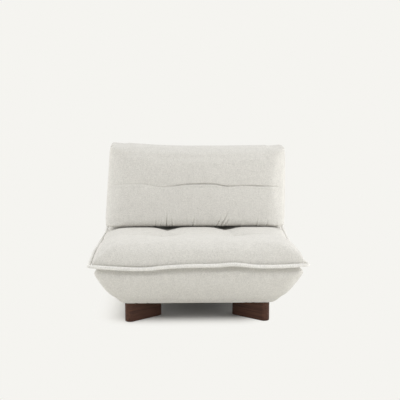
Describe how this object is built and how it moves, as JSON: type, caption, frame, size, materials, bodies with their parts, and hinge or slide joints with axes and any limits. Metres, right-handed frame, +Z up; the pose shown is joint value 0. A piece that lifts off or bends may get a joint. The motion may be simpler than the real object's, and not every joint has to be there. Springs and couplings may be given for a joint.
{
  "type": "modular armchair",
  "caption": "Low armless modular lounge chair: tapered upholstered seat with piped edge on slanting plank legs, a padded lift-off back and link plates that swing out below.",
  "frame": {"origin": "on the floor under the middle of the chair's bounding box", "axes": "+Z up, -Y to the front where the sitter faces, +X to the right seen from the front"},
  "size_m": [1.056, 1.03, 0.8092],
  "materials": {
    "seat_fabric": "soft chenille weave",
    "base_fabric": "soft chenille weave",
    "back_fabric": "soft chenille weave",
    "piping_fabric": "soft chenille weave over cord",
    "cushion_foam": "open-cell foam",
    "pad_felt": "needled felt",
    "glide_felt": "pressed felt",
    "webbing": "elastic webbing",
    "leg_wood": "walnut stain, satin lacquer",
    "frame_timber": "planed softwood",
    "underside_board": "black-faced plywood",
    "spring_steel": "oiled spring wire",
    "zinc_fixings": "zinc plated",
    "brass_inserts": "plain",
    "black_steel": "black powder coat",
    "link_steel": "black powder coat"
  },
  "bodies": {
    "seat": {"back_socket_left": "black_steel", "back_socket_right": "black_steel", "base_cover": "base_fabric", "base_foam": "cushion_foam", "bottom_panel": "underside_board", "centre_rail": "frame_timber", "corner_blocks": "frame_timber", "felt_glides": "glide_felt", "front_rail": "frame_timber", "leg_bolts": "zinc_fixings", "leg_front_left": "leg_wood", "leg_front_right": "leg_wood", "leg_inserts": "brass_inserts", "leg_rear_left": "leg_wood", "leg_rear_right": "leg_wood", "leg_washers": "zinc_fixings", "link_pivot_bolts": "zinc_fixings", "link_spacers": "zinc_fixings", "link_studs": "zinc_fixings", "rear_rail": "frame_timber", "seat_cover": "seat_fabric", "seat_fill": "cushion_foam", "seat_foam_core": "cushion_foam", "seat_piping": "piping_fabric", "seat_springs": "spring_steel", "side_rail_left": "frame_timber", "side_rail_right": "frame_timber", "socket_screws": "zinc_fixings", "spring_clips": "spring_steel", "spring_pad": "pad_felt"},
    "back": {"back_bottom_rail": "frame_timber", "back_cover": "back_fabric", "back_fill": "cushion_foam", "back_stile_left": "frame_timber", "back_stile_right": "frame_timber", "back_tongue_left": "black_steel", "back_tongue_right": "black_steel", "back_top_rail": "frame_timber", "back_webbing": "webbing", "tongue_screws": "zinc_fixings"},
    "link_right": {"link_plate_right": "link_steel"},
    "link_left": {"link_plate_left": "link_steel"}
  },
  "joints": [
    {"name": "back_lift", "type": "slide", "parent": "seat", "child": "back", "axis": [0, 0, 1], "range_m": [0, 0.235]},
    {"name": "link_right_swing", "type": "hinge", "parent": "seat", "child": "link_right", "pos_m": [0.3325, -0.225, 0.0915], "axis": [0, 0, -1], "range_deg": [0, 90]},
    {"name": "link_left_swing", "type": "hinge", "parent": "seat", "child": "link_left", "pos_m": [-0.3325, 0.225, 0.0915], "axis": [0, 0, -1], "range_deg": [0, 90]}
  ]
}
